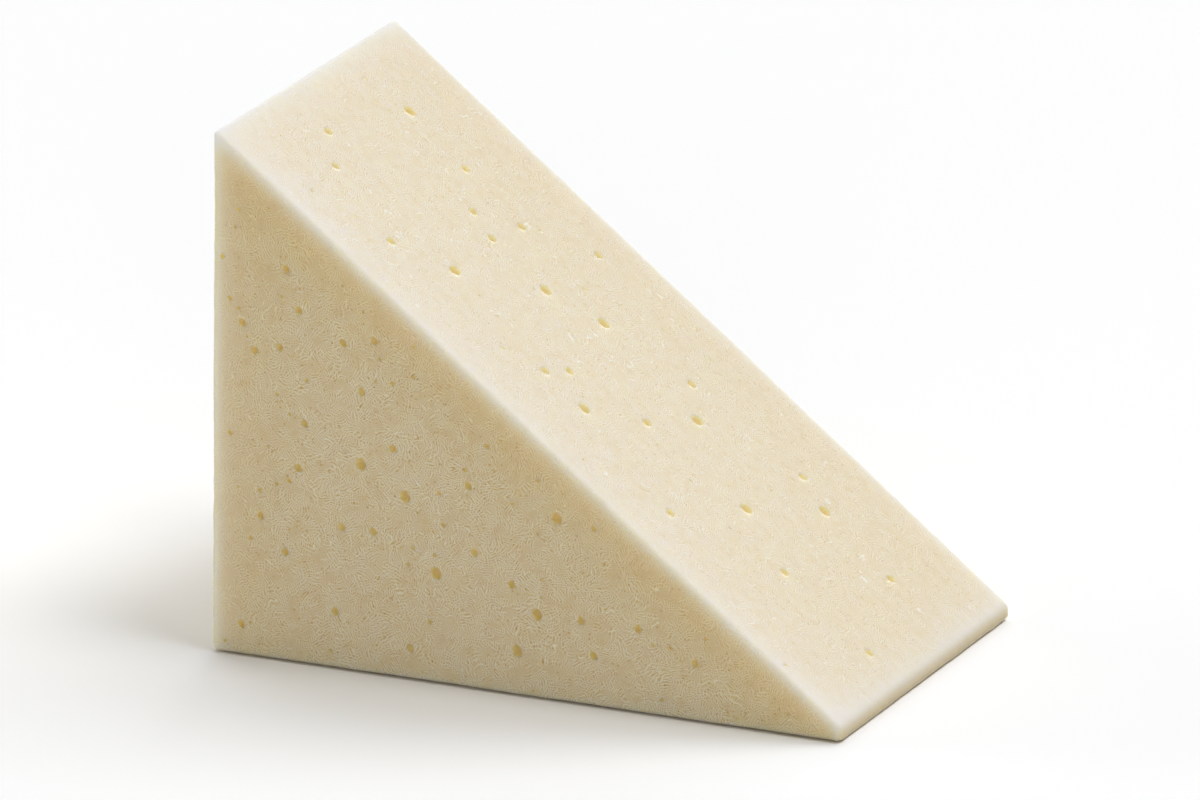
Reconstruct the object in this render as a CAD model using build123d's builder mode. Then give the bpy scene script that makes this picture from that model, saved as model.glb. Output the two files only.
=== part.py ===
import os
import random
from math import cos, radians, sin

from build123d import *

# A foam wedge: one block of fine latex foam, cut to a right triangle with a thin blunt toe.
# Millimetres, +Z up. It stands on its base, the upright back is at -X and the toe at +X, and the
# origin is the middle of the base.

# Block
wedge_length = 50.0  # along the base, from the back to the toe
wedge_height = 40.0  # up the back
wedge_width = 32.0  # from side to side
toe_height = 1.2  # upright face that the blade leaves at the thin end

# Softened edges
ridge_round = 0.6  # along the top of the back
base_round = 0.5  # across, under the back and under the toe
toe_round = 0.9  # across, over the toe
side_round = 0.45  # round the outline of each side

# Open bubbles that the blade cut through: flat-walled cells in two sizes, each by its length
bubble_length = {"large": 1.05, "middle": 0.7}
bubble_stretch = 1.2  # length over breadth
bubble_sides = 8
bubble_rise = 0.4  # from a bubble's middle to its roof and to its floor, as a share of its breadth
bubble_taper = 25  # degrees that its walls lean in, up and down from the middle
bubble_sink = 0.15  # how far a bubble's middle lies below the face
bubble_margin = 0.3  # least distance from a bubble to the edge of its face
bubble_spacing = 1.5  # least distance between the middles of two bubbles scattered at random

# Which way the bubbles are drawn out on each face, in degrees from the face's first direction
bubble_lean = {"slope": 90, "near_side": 115, "far_side": 65, "back": 90, "base": 90}
bubble_swing = 20  # how far each one may swing from that, either way

# Bubbles on the sloping face, as (down from the ridge, in from the near side)
slope_bubbles = {
    "large": [(7, 23), (19, 10), (24, 17.5), (28.5, 20), (33, 8.5), (38.5, 19), (46, 14.5), (49.5, 22.5)],
    "middle": [
        (5, 12), (7.5, 9), (13, 22.5), (14.5, 6.5), (16, 18.5), (18.5, 17.5), (19, 22), (24, 27), (29, 8.5),
        (30, 11), (36, 22.5), (36.5, 13.5), (43, 6), (46.5, 24), (51.5, 11.5), (56.5, 22), (60, 11.5),
    ],
}

# Bubbles on the near side, as (in from the back, up from the base)
near_bubbles = {
    "large": [(12, 16), (15.5, 14), (18, 8.5), (24.5, 3.5), (26, 6.5), (27.5, 14)],
    "middle": [
        (2.5, 2.5), (2.5, 25.5), (3.5, 23.5), (4, 11), (5.5, 24), (6, 8.5), (6, 30), (7, 15), (7, 27),
        (7.5, 18.5), (10, 4.5), (10.5, 11), (10.5, 25), (12, 21.5), (13, 11), (13, 25.5), (14.5, 17.5),
        (16, 2.5), (20.5, 15.5), (21, 10.5), (24, 8.5), (29.5, 6.5), (30.5, 4), (34, 6.5), (38.5, 4.5),
    ],
}

# On the other faces they lie at random, about one of each size to a square cell of this width
scatter_cell = {"large": 12.0, "middle": 7.0}
scatter_seed = 7


def bubble(length):
    """A closed bubble about the origin, longest along X."""
    breadth = length / bubble_stretch
    turns = [radians(360 / bubble_sides * side) for side in range(bubble_sides)]
    with BuildPart() as cell:
        with BuildSketch():
            Polygon(*[(length / 2 * cos(turn), breadth / 2 * sin(turn)) for turn in turns])
        extrude(amount=bubble_rise * breadth, both=True, taper=bubble_taper)
    return cell.part


def scattered(across, up):
    """Bubbles for a face of this size, one at random in each cell of a grid, none close together."""
    places = {size: [] for size in scatter_cell}
    taken = []
    for size, cell in scatter_cell.items():
        for column in range(int(across // cell)):
            for row in range(int(up // cell)):
                place = Vector((column + dice.random()) * cell, (row + dice.random()) * cell)
                if all((place - other).length > bubble_spacing for other in taken):
                    places[size].append((place.X, place.Y))
                    taken.append(place)
    return places


def cut_bubbles(plane, places, lean):
    """Open the bubbles whose mouths lie wholly on the face in this plane, drawn out along the lean."""
    face = foam_wedge.faces().sort_by(Axis(plane.origin, plane.z_dir))[-1]
    outline = face.outer_wire()
    for size, length in bubble_length.items():
        spots = []
        for along, up in places[size]:
            spot = plane.location * Location((along, up, 0))
            from_face = face.distance_to(spot.position)
            from_outline = outline.distance_to(spot.position)
            if from_face < bubble_margin and from_outline > length / 2 + bubble_margin:
                turn = lean + dice.uniform(-bubble_swing, bubble_swing)
                spots.append(spot * Location((0, 0, -bubble_sink), (0, 0, turn)))
        with Locations(*spots):
            add(bubbles[size], mode=Mode.SUBTRACT)


bubbles = {size: bubble(length) for size, length in bubble_length.items()}
dice = random.Random(scatter_seed)

with BuildPart() as foam_wedge:
    # The section: upright back, flat base, blunt toe, and the slope from the ridge down to it
    with BuildSketch(Plane.XZ):
        with BuildLine():
            Polyline(
                (-wedge_length / 2, 0),
                (wedge_length / 2, 0),
                (wedge_length / 2, toe_height),
                (-wedge_length / 2, wedge_height),
                close=True,
            )
        make_face()
        back_foot, ridge = vertices().group_by(Axis.X)[0].sort_by(Axis.Y)
        toe_foot, toe_top = vertices().group_by(Axis.X)[-1].sort_by(Axis.Y)
        fillet([back_foot, toe_foot], base_round)
        fillet(toe_top, toe_round)
        fillet(ridge, ridge_round)
    extrude(amount=wedge_width / 2, both=True)
    fillet(faces().group_by(Axis.Y)[0].edges() + faces().group_by(Axis.Y)[-1].edges(), side_round)

    # Each face's own plane, from one of its corners: its first direction, and outwards
    fall = (wedge_length, 0, toe_height - wedge_height)
    slope_out = (wedge_height - toe_height, 0, wedge_length)
    slope = Plane((-wedge_length / 2, -wedge_width / 2, wedge_height), fall, slope_out)
    near_side = Plane((-wedge_length / 2, -wedge_width / 2, 0), (1, 0, 0), (0, -1, 0))
    far_side = Plane((wedge_length / 2, wedge_width / 2, 0), (-1, 0, 0), (0, 1, 0))
    back = Plane((-wedge_length / 2, wedge_width / 2, 0), (0, -1, 0), (-1, 0, 0))
    base = Plane((-wedge_length / 2, wedge_width / 2, 0), (1, 0, 0), (0, 0, -1))

    cut_bubbles(slope, slope_bubbles, bubble_lean["slope"])
    cut_bubbles(near_side, near_bubbles, bubble_lean["near_side"])
    cut_bubbles(far_side, scattered(wedge_length, wedge_height), bubble_lean["far_side"])
    cut_bubbles(back, scattered(wedge_width, wedge_height), bubble_lean["back"])
    cut_bubbles(base, scattered(wedge_length, wedge_width), bubble_lean["base"])

foam_wedge.part.label = "foam_wedge"
os.makedirs("parts", exist_ok=True)
export_step(foam_wedge.part, "parts/foam_wedge.step")
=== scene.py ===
import math
import random

import bmesh
import bpy
from mathutils import Euler, Matrix, Vector


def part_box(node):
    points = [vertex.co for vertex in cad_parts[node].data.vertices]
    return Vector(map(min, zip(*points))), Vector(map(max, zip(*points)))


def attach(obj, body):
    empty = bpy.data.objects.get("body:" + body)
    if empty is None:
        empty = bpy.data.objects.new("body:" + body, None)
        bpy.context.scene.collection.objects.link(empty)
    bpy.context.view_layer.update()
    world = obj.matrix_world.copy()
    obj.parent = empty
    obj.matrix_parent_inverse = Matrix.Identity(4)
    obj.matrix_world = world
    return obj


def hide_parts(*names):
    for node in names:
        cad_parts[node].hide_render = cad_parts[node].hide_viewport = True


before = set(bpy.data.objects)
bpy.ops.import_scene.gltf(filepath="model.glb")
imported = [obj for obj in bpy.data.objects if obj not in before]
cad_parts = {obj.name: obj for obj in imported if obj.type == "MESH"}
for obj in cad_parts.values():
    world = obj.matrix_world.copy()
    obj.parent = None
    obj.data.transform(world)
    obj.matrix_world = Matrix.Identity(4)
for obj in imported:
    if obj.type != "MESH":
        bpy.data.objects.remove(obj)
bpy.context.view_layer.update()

low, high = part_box("foam_wedge")
millimetre = 0.001
near = 0.01 * millimetre  # how close a point has to be to count as on a plane


def selectNothing():
    if bpy.context.mode != "OBJECT":
        bpy.ops.object.mode_set(mode="OBJECT")
    bpy.ops.object.select_all(action="DESELECT")


def makeActive(thing):
    selectNothing()
    thing.select_set(True)
    bpy.context.view_layer.objects.active = thing


def editMesh(thing, pick="VERT"):
    makeActive(thing)
    bpy.ops.object.mode_set(mode="EDIT")
    bpy.ops.mesh.select_mode(type=pick)
    bpy.ops.mesh.select_all(action="SELECT")


def pickEdges(thing, wanted):
    # select the edges whose two ends both pass the test
    bpy.ops.mesh.select_all(action="DESELECT")
    mesh = bmesh.from_edit_mesh(thing.data)
    for edge in mesh.edges:
        if all(wanted(end.co) for end in edge.verts):
            edge.select_set(True)
    bmesh.update_edit_mesh(thing.data)


def pickFaces(thing, wanted):
    # select the faces whose centres pass the test
    bpy.ops.mesh.select_all(action="DESELECT")
    mesh = bmesh.from_edit_mesh(thing.data)
    for face in mesh.faces:
        if wanted(face.calc_center_median()):
            face.select_set(True)
    bmesh.update_edit_mesh(thing.data)


def applyModifier(thing, kind, **settings):
    makeActive(thing)
    modifier = thing.modifiers.new(kind.title(), kind)
    for name, value in settings.items():
        setattr(modifier, name, value)
    bpy.ops.object.modifier_apply(modifier=modifier.name)


block = {
    "toeHeight": 1.2,  # upright face left at the thin end, in millimetres as all sizes here
    "ridgeRound": 0.7,  # softened edges: along the top of the back
    "baseRound": 0.5,  # under the back
    "toeRound": 0.4,  # over the toe
    "toeFootRound": 0.25,  # and under it
    "sideRound": 0.52,  # round the outline of both sides
    "roundSteps": 6,  # faces across each of those
    "weld": 0.001,  # points closer than this are merged
    "grain": 0.34,  # size of the mesh that carries the relief
    "evening": 0.5,  # how hard that mesh is evened out each time, as a share
    "eveningTimes": 4,
    "swellSize": 9.0,  # slow unevenness of the cut faces
    "swellDepth": 0.11,
    "pebbleSize": 1.1,  # fine unevenness from cell to cell
    "pebbleDepth": 0.07,
    "smoothAngle": 50,  # degrees: two faces that turn less than this are shaded as one
}

ridge = Vector((low.x, 0, high.z))
toe = Vector((high.x, 0, low.z + block["toeHeight"] * millimetre))
slopeOut = Vector((ridge.z - toe.z, 0, toe.x - ridge.x)).normalized()

# the outer faces, as a point on each and its way out
outerFaces = {
    "slope": (ridge, slopeOut),
    "toe": (high, Vector((1, 0, 0))),
    "back": (low, Vector((-1, 0, 0))),
    "nearSide": (low, Vector((0, -1, 0))),
    "farSide": (high, Vector((0, 1, 0))),
    "base": (low, Vector((0, 0, -1))),
}


def depths(point):
    # how far a point lies inside each outer face, least first
    return sorted((start - point).dot(out) for start, out in outerFaces.values())


def displace(thing, name, size, depth):
    # inwards only, so that nothing swells past the outer faces
    relief = bpy.data.textures.new(name, "CLOUDS")
    relief.noise_scale = size * millimetre
    applyModifier(thing, "DISPLACE", texture=relief, texture_coords="LOCAL",
                  strength=depth * millimetre, mid_level=1.0)


def makeBlock(settings):
    # a box, cut down the slope, with its edges softened
    selectNothing()
    bpy.ops.mesh.primitive_cube_add(size=1, location=(low + high) / 2, scale=high - low)
    piece = bpy.context.object
    piece.name = "foamBlock"
    bpy.ops.object.transform_apply(location=True, rotation=True, scale=True)
    editMesh(piece)
    bpy.ops.mesh.bisect(plane_co=ridge, plane_no=slopeOut, use_fill=True, clear_outer=True)
    softened = (
        ("ridgeRound", lambda point: point.z > high.z - near),
        ("toeRound", lambda point: point.x > high.x - near and point.z > low.z + near),
        ("baseRound", lambda point: point.x < low.x + near and point.z < low.z + near),
        ("toeFootRound", lambda point: point.x > high.x - near and point.z < low.z + near),
        ("sideRound", lambda point: point.y < low.y + near),
        ("sideRound", lambda point: point.y > high.y - near),
    )
    for name, wanted in softened:
        pickEdges(piece, wanted)
        bpy.ops.mesh.bevel(offset=settings[name] * millimetre, segments=settings["roundSteps"],
                           affect="EDGES")
    bpy.ops.mesh.select_all(action="SELECT")
    bpy.ops.mesh.remove_doubles(threshold=settings["weld"] * millimetre)
    bpy.ops.mesh.normals_make_consistent(inside=False)

    # an even mesh drawn back onto that form, then the unevenness of cut foam
    makeActive(piece)
    bpy.ops.object.duplicate()
    form = bpy.context.object
    applyModifier(piece, "REMESH", mode="VOXEL", voxel_size=settings["grain"] * millimetre)
    applyModifier(piece, "SMOOTH", factor=settings["evening"], iterations=settings["eveningTimes"])
    applyModifier(piece, "SHRINKWRAP", target=form)
    bpy.data.objects.remove(form)
    displace(piece, "swell", settings["swellSize"], settings["swellDepth"])
    displace(piece, "pebble", settings["pebbleSize"], settings["pebbleDepth"])
    return piece


bubbles = {
    "wallDepth": 0.02,  # walls lie deeper than this under a face, in millimetres as all sizes here
    "weld": 0.002,  # points closer than this are merged
    "flatAngle": 2,  # degrees: walls that turn less than this are made one
    "lip": 0.3,  # how far the cutters reach out past the face
    "plump": 0.05,  # makes up for what the rounding takes off
    "plumpOnSlope": 0.10,  # and what the slope's are larger by
    "slopeReach": 1.2,  # which are those that lie no deeper than this under it
    "wander": 0.03,  # how uneven the walls are
    "fineSizes": (0.13, 0.24),  # radius of the fine bubbles between them
    "fineShape": (1, 0.8, 0.8),  # how long, broad and deep they are, as shares of it
    "fineCount": 240,
    "fineOnSlope": 0.3,  # the share of them that the slope keeps
    "slopeTurn": 0.9,  # a face counts as the slope's where its way out agrees with it this much
    "fineSink": 0.3,  # how far their middles lie under the face, as a share of the radius
    "fineRoom": 0.9,  # least distance from the middle of one bubble to the next
    "edgeRoom": 0.8,  # and from a bubble to the edge of its face
    "seed": 11,
}


def openedByBubble(point):
    inside, beside = depths(point)[:2]
    return inside > bubbles["wallDepth"] * millimetre and beside > bubbles["edgeRoom"] * millimetre


def liftBubbles(settings):
    # the bubbles that the solid opens, lifted out of a merged copy of its mesh, and closed over
    selectNothing()
    cutters = bpy.data.objects.new("bubbles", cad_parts["foam_wedge"].data.copy())
    bpy.context.collection.objects.link(cutters)
    editMesh(cutters, "FACE")
    bpy.ops.mesh.remove_doubles(threshold=settings["weld"] * millimetre)
    pickFaces(cutters, lambda point: not openedByBubble(point))
    bpy.ops.mesh.delete(type="FACE")
    bpy.ops.mesh.select_all(action="SELECT")
    bpy.ops.mesh.dissolve_limited(angle_limit=math.radians(settings["flatAngle"]))
    bpy.ops.mesh.select_all(action="SELECT")
    bpy.ops.mesh.fill_holes(sides=0)
    bpy.ops.mesh.select_all(action="SELECT")
    bpy.ops.mesh.normals_make_consistent(inside=False)

    # each mouth is drawn out past the face, and all of it is rounded and swollen
    pickFaces(cutters, lambda point: depths(point)[0] < settings["wallDepth"] * millimetre)
    mesh = bmesh.from_edit_mesh(cutters.data)
    mouths = [face.calc_center_median() for face in mesh.faces if face.select]
    bpy.ops.mesh.extrude_region_shrink_fatten(
        TRANSFORM_OT_shrink_fatten={"value": settings["lip"] * millimetre})
    selectNothing()
    applyModifier(cutters, "SUBSURF", levels=1, render_levels=1)
    editMesh(cutters)
    bpy.ops.transform.shrink_fatten(value=settings["plump"] * millimetre)
    start, out = outerFaces["slope"]
    pickFaces(cutters, lambda point: (start - point).dot(out) < settings["slopeReach"] * millimetre)
    bpy.ops.transform.shrink_fatten(value=settings["plumpOnSlope"] * millimetre)
    print("  bubbles", len(mouths))
    return cutters, mouths


def scatterFineBubbles(settings, skin, mouths):
    # fine ones at random between those, well inside each face
    selectNothing()
    bpy.ops.mesh.primitive_ico_sphere_add(subdivisions=2, radius=1, scale=settings["fineShape"])
    ball = bpy.context.object
    bpy.ops.object.transform_apply(location=False, rotation=False, scale=True)
    dice = random.Random(settings["seed"])
    skinFaces = skin.data.polygons[:]
    weights = [face.area for face in skinFaces]
    room = settings["fineRoom"] * millimetre
    taken = list(mouths)
    made = []
    while len(made) < settings["fineCount"]:
        face = dice.choices(skinFaces, weights)[0]
        clear = all((face.center - mouth).length > room for mouth in taken)
        onSlope = face.normal.dot(slopeOut) > settings["slopeTurn"]
        dropped = onSlope and dice.random() > settings["fineOnSlope"]
        if clear and not dropped and depths(face.center)[1] > settings["edgeRoom"] * millimetre:
            size = dice.uniform(*settings["fineSizes"]) * millimetre
            turn = Euler([dice.uniform(0, math.pi) for axis in range(3)]).to_matrix().to_4x4()
            place = Matrix.Translation(face.center - face.normal * size * settings["fineSink"])
            bubble = bpy.data.objects.new("bubble", ball.data.copy())
            bubble.data.transform(place @ turn @ Matrix.Scale(size, 4))
            bpy.context.collection.objects.link(bubble)
            made.append(bubble)
            taken.append(face.center.copy())
    bpy.data.objects.remove(ball)
    print("  fine bubbles", len(made))
    return made


def makeBubbles(settings, skin):
    # all of them in one piece, ready to be cut out of the block
    cutters, mouths = liftBubbles(settings)
    fine = scatterFineBubbles(settings, skin, mouths)
    makeActive(cutters)
    for bubble in fine:
        bubble.select_set(True)
    bpy.ops.object.join()
    editMesh(cutters)
    bpy.ops.transform.vertex_random(
        offset=settings["wander"] * millimetre, uniform=1, seed=settings["seed"])
    selectNothing()
    return cutters


def addNode(tree, kind, inputs, **settings):
    # a node with its settings, and with its inputs from values or from other nodes' outputs
    node = tree.nodes.new(kind)
    for name, value in settings.items():
        setattr(node, name, value)
    for name, value in inputs.items():
        if isinstance(value, bpy.types.NodeSocket):
            tree.links.new(value, node.inputs[name])
        else:
            node.inputs[name].default_value = value
    return node


def calculate(tree, operation, *values, clamp=False):
    inputs = dict(enumerate(values))
    node = addNode(tree, "ShaderNodeMath", inputs, operation=operation, use_clamp=clamp)
    return node.outputs["Value"]


def calculateVector(tree, operation, *values, **inputs):
    inputs.update(enumerate(values))
    node = addNode(tree, "ShaderNodeVectorMath", inputs, operation=operation)
    return node.outputs["Value" if operation == "DOT_PRODUCT" else "Vector"]


def smoothStep(tree, value, start, end):
    # 0 at the start and 1 at the end, easing in and out
    node = addNode(tree, "ShaderNodeMapRange", {"Value": value, "From Min": start, "From Max": end},
                   interpolation_type="SMOOTHSTEP")
    return node.outputs["Result"]


def blend(tree, share, first, second, mode="MIX"):
    node = tree.nodes.new("ShaderNodeMix")
    node.data_type = "RGBA"
    node.blend_type = mode
    for name, value in (("Factor_Float", share), ("A_Color", first), ("B_Color", second)):
        socket = next(entry for entry in node.inputs if entry.identifier == name)
        if isinstance(value, bpy.types.NodeSocket):
            tree.links.new(value, socket)
        else:
            socket.default_value = value
    return next(entry for entry in node.outputs if entry.identifier == "Result_Color")


def readAttribute(tree, name):
    return addNode(tree, "ShaderNodeAttribute", {}, attribute_name=name).outputs["Fac"]


def startMaterial(name):
    material = bpy.data.materials.new(name)
    material.use_nodes = True
    tree = material.node_tree
    return material, tree, tree.nodes["Principled BSDF"]


def setFoamShader(shader, settings):
    # dull, with the light scattered deep inside
    shader.inputs["Roughness"].default_value = settings["roughness"]
    shader.inputs["Specular IOR Level"].default_value = settings["gloss"]
    shader.inputs["Subsurface Weight"].default_value = 1.0
    shader.inputs["Subsurface Radius"].default_value = settings["scatter"]
    shader.inputs["Subsurface Scale"].default_value = settings["scatterReach"] * millimetre


cellPattern = {
    # two layers of cells that cover each other: how each is turned, and its cells to a metre
    "layers": (((0, 0, 0), 1450), ((0.6, 0.9, 0.4), 1300)),
    "spacing": 0.17,  # millimetres from one strand to the next
    "curlScale": 2100,  # what curls the strands: its waves to a metre
    "curl": 0.24,  # how far it moves them, in millimetres
    "drift": 1.0,  # and how far it also shifts them sideways, in half spacings
    "squareOn": (0.94, 0.74),  # how squarely a ruling may face the surface: faded out, and in full
    "plain": 0.4,  # height of what is left where it is faded out
    "pin": (0.14, 0.07),  # from a pin hole's rim to its floor, as shares of a cell
    "mottleScale": 1100,  # the patches where strands or gaps are fewer: waves to a metre
    "strand": (0.50, 0.98),  # heights from a strand's foot to its crest
    "strandCap": 0.72,  # how far it is filled in, so that a wide one leaves no white fleck
    "strandMottle": (0.15, 0.55),  # where in the patches it starts to show, and shows in full
    "gap": (0.25, 0.0),  # heights from a gap's rim to its floor
    "gapMottle": (0.85, 0.45),  # and where in the patches it does
}


def makeFoamCells(settings):
    # the fine cells of the foam: curly pale strands over darker gaps, with stray pin holes
    group = bpy.data.node_groups.new("foamCells", "ShaderNodeTree")
    for name in ("Vector", "Normal"):
        group.interface.new_socket(name, in_out="INPUT", socket_type="NodeSocketVector")
    for name in ("Strands", "Gaps", "Pins"):
        group.interface.new_socket(name, in_out="OUTPUT", socket_type="NodeSocketFloat")
    start = group.nodes.new("NodeGroupInput")
    place, normal = start.outputs["Vector"], start.outputs["Normal"]
    end = group.nodes.new("NodeGroupOutput")

    # in each layer every cell is ruled its own way, on coordinates warped enough to curl the lines
    layers, pins = [], []
    for turn, scale in settings["layers"]:
        turned = addNode(group, "ShaderNodeMapping", {"Vector": place, "Rotation": turn}).outputs["Vector"]
        warp = addNode(group, "ShaderNodeTexNoise",
                       {"Vector": turned, "Scale": settings["curlScale"], "Detail": 0})
        moved = calculateVector(group, "SCALE", warp.outputs["Color"], Scale=settings["curl"] * millimetre)
        bent = calculateVector(group, "ADD", turned, moved)
        cell = addNode(group, "ShaderNodeTexVoronoi", {"Vector": bent, "Scale": scale})
        way = calculateVector(group, "SUBTRACT", cell.outputs["Color"], (0.5, 0.5, 0.5))
        way = calculateVector(group, "NORMALIZE", way)
        along = calculateVector(group, "DOT_PRODUCT", way, bent)
        # the phase grows by two from one strand to the next
        drift = calculate(group, "MULTIPLY", warp.outputs["Fac"], settings["drift"])
        phase = calculate(group, "MULTIPLY_ADD", along, 2 / (settings["spacing"] * millimetre), drift)
        line = calculate(group, "PINGPONG", phase, 1)
        line = calculate(group, "MULTIPLY_ADD", line, line, -settings["plain"])
        # where the ruling faces the surface squarely it would leave a broad patch, so it fades there
        square = calculate(group, "ABSOLUTE", calculateVector(group, "DOT_PRODUCT", way, normal))
        shows = smoothStep(group, square, *settings["squareOn"])
        layers.append(calculate(group, "MULTIPLY_ADD", line, shows, settings["plain"]))
        pins.append(smoothStep(group, cell.outputs["Distance"], *settings["pin"]))

    height = calculate(group, "MAXIMUM", *layers)
    mottle = addNode(group, "ShaderNodeTexNoise",
                     {"Vector": place, "Scale": settings["mottleScale"], "Detail": 1}).outputs["Fac"]
    strands = calculate(group, "MINIMUM", smoothStep(group, height, *settings["strand"]),
                        settings["strandCap"])
    strands = calculate(group, "MULTIPLY", strands, smoothStep(group, mottle, *settings["strandMottle"]))
    gaps = calculate(group, "MULTIPLY", smoothStep(group, height, *settings["gap"]),
                     smoothStep(group, mottle, *settings["gapMottle"]))
    made = {"Strands": strands, "Gaps": gaps, "Pins": calculate(group, "MAXIMUM", *pins)}
    for name, value in made.items():
        group.links.new(value, end.inputs[name])
    return group


foam = {
    "skin": (0.826, 0.726, 0.537, 1),  # the skived slope
    "deepSkin": (0.785, 0.674, 0.468, 1),  # and where it is deeper, towards the toe and the far side
    "sawnAndShaded": (0.820, 0.668, 0.406, 1),  # the sawn faces, where the cells lie open; their deeper, warmer tone is partly painted shade, as the shaded side looks where light comes through the foam
    "strand": (1.27, 1.50, 2.12, 1),  # what the strands, gaps and pin holes multiply these by
    "gap": (0.87, 0.76, 0.50, 1),
    "pin": (0.84, 0.72, 0.48, 1),
    "slopeDetail": 0.6,  # how strong all that is on the slope
    "glowHides": 0.5,  # and how much of it the light near an edge hides on the sawn faces
    "sawnGlow": (0.79, 0.615, 0.26, 1),  # light that comes through near an edge, on the sawn faces
    "skinGlow": (0.88, 0.845, 0.815, 1),  # and on the slope
    "sawnEdgeLight": (0.95, 0.935, 0.955, 1),  # painted light along the edges themselves, on each
    "skinEdgeLight": (0.73, 0.70, 0.68, 1),
    "toe": (0.66, 0.51, 0.29, 1),  # painted shade on the blunt toe, which less light comes through
    "roughness": 0.9,
    "gloss": 0.2,
    "scatter": (1.0, 0.95, 0.5),  # how far red, green and blue light spread inside it, as shares
    "scatterReach": 2.0,  # of this many millimetres
}


def makeLatexFoam(settings, cells):
    material, tree, shader = startMaterial("latexFoam")
    place = addNode(tree, "ShaderNodeTexCoord", {}).outputs
    fine = addNode(tree, "ShaderNodeGroup", {"Vector": place["Object"], "Normal": place["Normal"]},
                   node_tree=cells)
    slopeFace = readAttribute(tree, "slopeFace")
    edgeGlow = readAttribute(tree, "edgeGlow")
    skived = blend(tree, readAttribute(tree, "deepSkin"), settings["skin"], settings["deepSkin"])
    # off the slope the deeper tone, which is partly painted shade
    ground = blend(tree, slopeFace, settings["sawnAndShaded"], skived)
    light = blend(tree, slopeFace, settings["sawnGlow"], settings["skinGlow"])
    ground = blend(tree, edgeGlow, ground, light)

    # the fine cells: fainter on the slope, and near an edge where the light hides them
    fainter = calculate(tree, "MULTIPLY", slopeFace, 1 - settings["slopeDetail"])
    shown = calculate(tree, "SUBTRACT", 1, fainter)
    hidden = calculate(tree, "MULTIPLY_ADD", slopeFace, 1 - settings["glowHides"], settings["glowHides"])
    hidden = calculate(tree, "MULTIPLY", hidden, edgeGlow)
    shown = calculate(tree, "MULTIPLY", shown, calculate(tree, "SUBTRACT", 1, hidden))
    for mask, colour in (("Gaps", "gap"), ("Strands", "strand"), ("Pins", "pin")):
        share = calculate(tree, "MULTIPLY", fine.outputs[mask], shown)
        ground = blend(tree, share, ground, settings[colour], "MULTIPLY")

    # a pale line of painted light along the edges
    edge = blend(tree, slopeFace, settings["sawnEdgeLight"], settings["skinEdgeLight"])
    ground = blend(tree, readAttribute(tree, "edgeLightLine"), ground, edge)
    # painted shade on the toe face
    ground = blend(tree, readAttribute(tree, "toeShade"), ground, settings["toe"])
    tree.links.new(ground, shader.inputs["Base Color"])
    setFoamShader(shader, settings)
    return material


lining = {
    "film": (0.83, 0.68, 0.30, 1),  # in the bubbles of the sawn faces
    "filmPale": (0.89, 0.75, 0.39, 1),  # and in its paler clouds
    "slopeFilm": (0.94, 0.845, 0.61, 1),  # in the bubbles of the slope
    "cloudScale": 2500,  # how many of those clouds to a metre
    "roughness": 0.6,
    "gloss": 0.3,
    "scatter": (1.0, 0.9, 0.6),
    "scatterReach": 3.0,
}


def makeBubbleLining(settings):
    # the thin film inside a bubble: smooth, and a deeper colour than the cut face
    material, tree, shader = startMaterial("bubbleLining")
    place = addNode(tree, "ShaderNodeTexCoord", {}).outputs["Object"]
    clouds = addNode(tree, "ShaderNodeTexNoise",
                     {"Vector": place, "Scale": settings["cloudScale"], "Detail": 1})
    film = blend(tree, clouds.outputs["Fac"], settings["film"], settings["filmPale"])
    film = blend(tree, readAttribute(tree, "slopeFace"), film, settings["slopeFilm"])
    tree.links.new(film, shader.inputs["Base Color"])
    setFoamShader(shader, settings)
    return material


marks = {
    # how far the light that comes in through each face reaches, in millimetres as all here: under
    # the slope, under the sawn faces, and as the pale line along its edges
    "glow": {
        "slope": (0.5, 2.4, 0.45),
        "back": (0.5, 2.5, 1.0),
        "nearSide": (2.8, 1.0, 0.15),
        "farSide": (1.0, 1.0, 0.45),
        "toe": (1.3, 0.5, 0.25),
    },
    "lit": 3.0,  # how far from the slope and the near side an edge still shows that light
    "skin": 0.5,  # how far down beside the slope its colour reaches
    "deep": 8.0,  # how far up from the toe and in from the far side its deeper colour does
    "toe": 0.3,  # how far in from the toe its painted shade reaches, and how far below the slope it starts
}


def fade(depth, reach):
    # 1 at a face, and falling off inside it
    return math.exp(-max(depth, 0) / (reach * millimetre))


def markFaces(thing, settings):
    # how near each point lies to an edge, and how much it belongs to the slope and to the painted shade of
    # the toe
    for name in ("edgeGlow", "edgeLightLine", "slopeFace", "toeShade", "deepSkin"):
        thing.data.attributes.new(name, "FLOAT", "POINT")
    for vertex in thing.data.vertices:
        inside = {name: (start - vertex.co).dot(out) for name, (start, out) in outerFaces.items()}
        spreads = []
        for column in range(3):
            # of what comes in through each face, all but the strongest
            shares = [fade(inside[name], reach[column]) for name, reach in settings["glow"].items()]
            spreads.append(min(sum(shares) - max(shares), 1))
        # only the edges by the slope and by the near side show that light
        lit = max(fade(inside[name], settings["lit"]) for name in ("slope", "nearSide"))
        # painted glow under the slope and under the sawn faces, and the painted light line along the edges
        underSkin, underSawn, line = (lit * spread for spread in spreads)
        skin = fade(inside["slope"], settings["skin"])
        deep = fade(inside["toe"], settings["deep"]) + fade(inside["farSide"], settings["deep"])
        values = {
            "edgeGlow": skin * underSkin + (1 - skin) * underSawn,
            "edgeLightLine": line,
            "slopeFace": skin,
            "toeShade": fade(inside["toe"], settings["toe"]) * (1 - fade(inside["slope"], settings["toe"])),
            "deepSkin": min(deep, 1),
        }
        for name, value in values.items():
            thing.data.attributes[name].data[vertex.index].value = value


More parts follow.
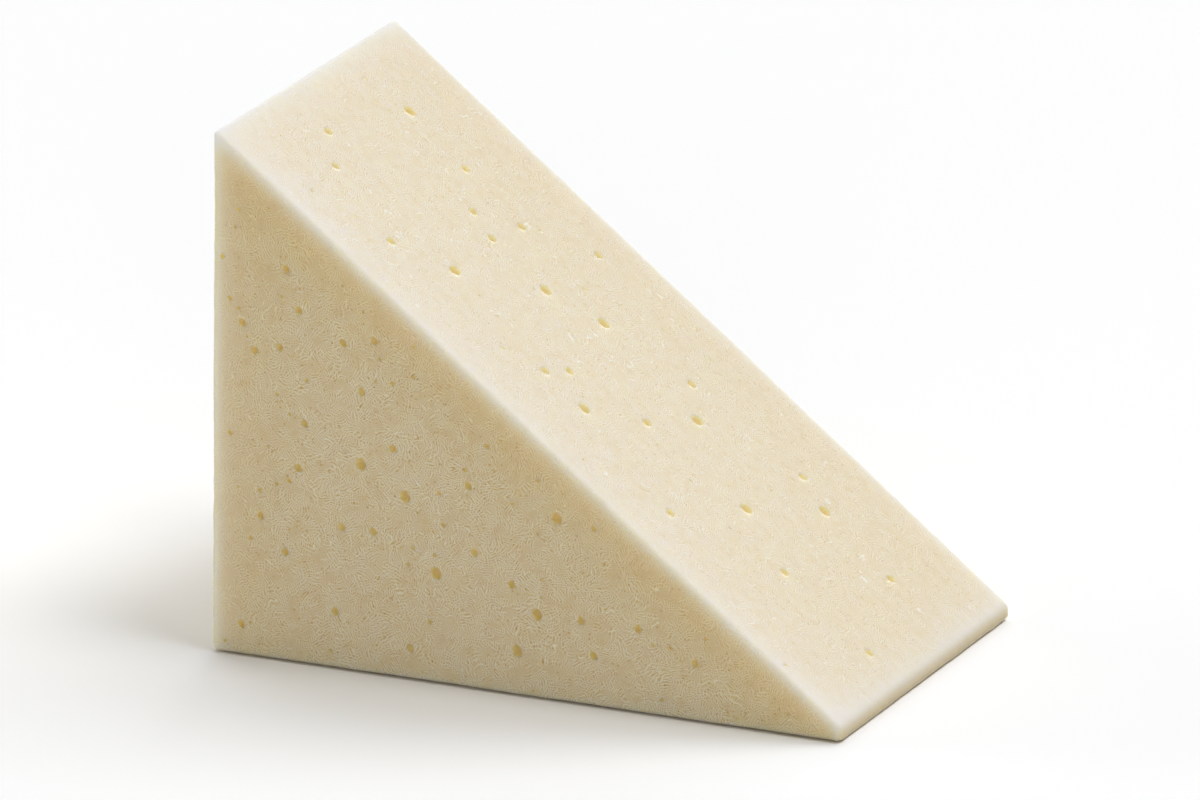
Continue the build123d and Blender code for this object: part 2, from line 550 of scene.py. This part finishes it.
print("foam block")
foamBlock = makeBlock(block)
cutters = makeBubbles(bubbles, foamBlock)
print("materials")
foamBlock.data.materials.append(makeLatexFoam(foam, makeFoamCells(cellPattern)))
cutters.data.materials.clear()
cutters.data.materials.append(makeBubbleLining(lining))
for face in cutters.data.polygons:
    face.material_index = 0
print("cutting the bubbles")
applyModifier(foamBlock, "BOOLEAN", object=cutters, operation="DIFFERENCE", solver="MANIFOLD",
              material_mode="TRANSFER")
bpy.data.objects.remove(cutters)
makeActive(foamBlock)
bpy.ops.object.shade_smooth_by_angle(angle=math.radians(block["smoothAngle"]))
markFaces(foamBlock, marks)
print("  faces", len(foamBlock.data.polygons))

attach(foamBlock, "root")
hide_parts("foam_wedge")

studio = {
    "floorSize": 8.0,  # metres
    "floor": (0.8, 0.8, 0.8, 1),  # what it bounces back at the block
    "floorSeen": (0.995, 1.0, 1.0, 1),  # and what is seen of it
    "roomLight": 0.05,
    # soft lamps: where each one comes from, its strength, and how wide it is in degrees
    "lamps": (
        ((0.22, 0.53, 0.82), 1.25, 45),  # behind, to the right
        ((-0.42, 0.52, 0.75), 0.90, 45),  # behind, to the left
        ((0.37, -0.01, 0.93), 1.10, 24),  # overhead
        ((0.38, -0.91, 0.15), 0.70, 34),  # low in front
        ((-0.97, -0.12, 0.12), 0.85, 30),  # low on the left
    ),
}

camera = {
    "azimuth": 23.57,  # degrees round from the front
    "elevation": 17.61,
    "roll": 0.5,
    "distance": 1.39,  # metres, as the rest but the lens and the sensor
    "lens": 572,  # millimetres
    "sensor": 36,
    "clip": (0.01, 20),  # nearest and farthest that it sees
    "aimAside": -0.0011,  # from the middle of the block, along X
    "aimUp": 0.0179,  # above the floor
}


def setView(settings):
    turn, lift = math.radians(settings["azimuth"]), math.radians(settings["elevation"])
    back = Vector((math.sin(turn) * math.cos(lift), -math.cos(turn) * math.cos(lift), math.sin(lift)))
    aim = Vector(((low.x + high.x) / 2 + settings["aimAside"], 0, low.z + settings["aimUp"]))
    bpy.ops.object.camera_add(location=aim + back * settings["distance"])
    view = bpy.context.object
    upright = (-back).to_track_quat("-Z", "Y").to_matrix()
    rolled = upright @ Matrix.Rotation(math.radians(settings["roll"]), 3, "Z")
    view.rotation_euler = rolled.to_euler()
    view.data.lens = settings["lens"]
    view.data.sensor_width = settings["sensor"]
    view.data.clip_start, view.data.clip_end = settings["clip"]
    bpy.context.scene.camera = view


def lightStage(settings):
    selectNothing()
    for comesFrom, strength, width in settings["lamps"]:
        bpy.ops.object.light_add(type="SUN")
        lamp = bpy.context.object
        lamp.rotation_euler = Vector(comesFrom).to_track_quat("Z", "Y").to_euler()
        lamp.data.energy = strength
        lamp.data.angle = math.radians(width)


def seenDirectly(tree):
    # 1 for what is seen straight on, in a gloss or through glass
    path = tree.nodes.new("ShaderNodeLightPath").outputs
    seen = calculate(tree, "ADD", path["Is Camera Ray"], path["Is Glossy Ray"])
    return calculate(tree, "ADD", seen, path["Is Transmission Ray"], clamp=True)


def makeFloor(settings):
    selectNothing()
    bpy.ops.mesh.primitive_plane_add(size=settings["floorSize"], location=(0, 0, low.z))
    floor = bpy.context.object
    floor.name = "floor"
    bpy.ops.object.transform_apply(location=True, rotation=True, scale=True)
    material, tree, shader = startMaterial("floorWhite")
    white = blend(tree, seenDirectly(tree), settings["floor"], settings["floorSeen"])
    tree.links.new(white, shader.inputs["Base Color"])
    shader.inputs["Roughness"].default_value = 1.0
    shader.inputs["Specular IOR Level"].default_value = 0.0
    floor.data.materials.append(material)


def lightRoom(settings):
    # an even room, seen as white
    room = bpy.data.worlds.new("room")
    bpy.context.scene.world = room
    room.use_nodes = True
    tree = room.node_tree
    background = tree.nodes["Background"]
    background.inputs["Color"].default_value = (1, 1, 1, 1)
    strength = addNode(tree, "ShaderNodeMix",
                       {"Factor": seenDirectly(tree), "A": settings["roomLight"], "B": 1.0})
    tree.links.new(strength.outputs["Result"], background.inputs["Strength"])


print("stage")
makeFloor(studio)
lightStage(studio)
lightRoom(studio)
setView(camera)
bpy.context.scene.view_settings.view_transform = "Standard"
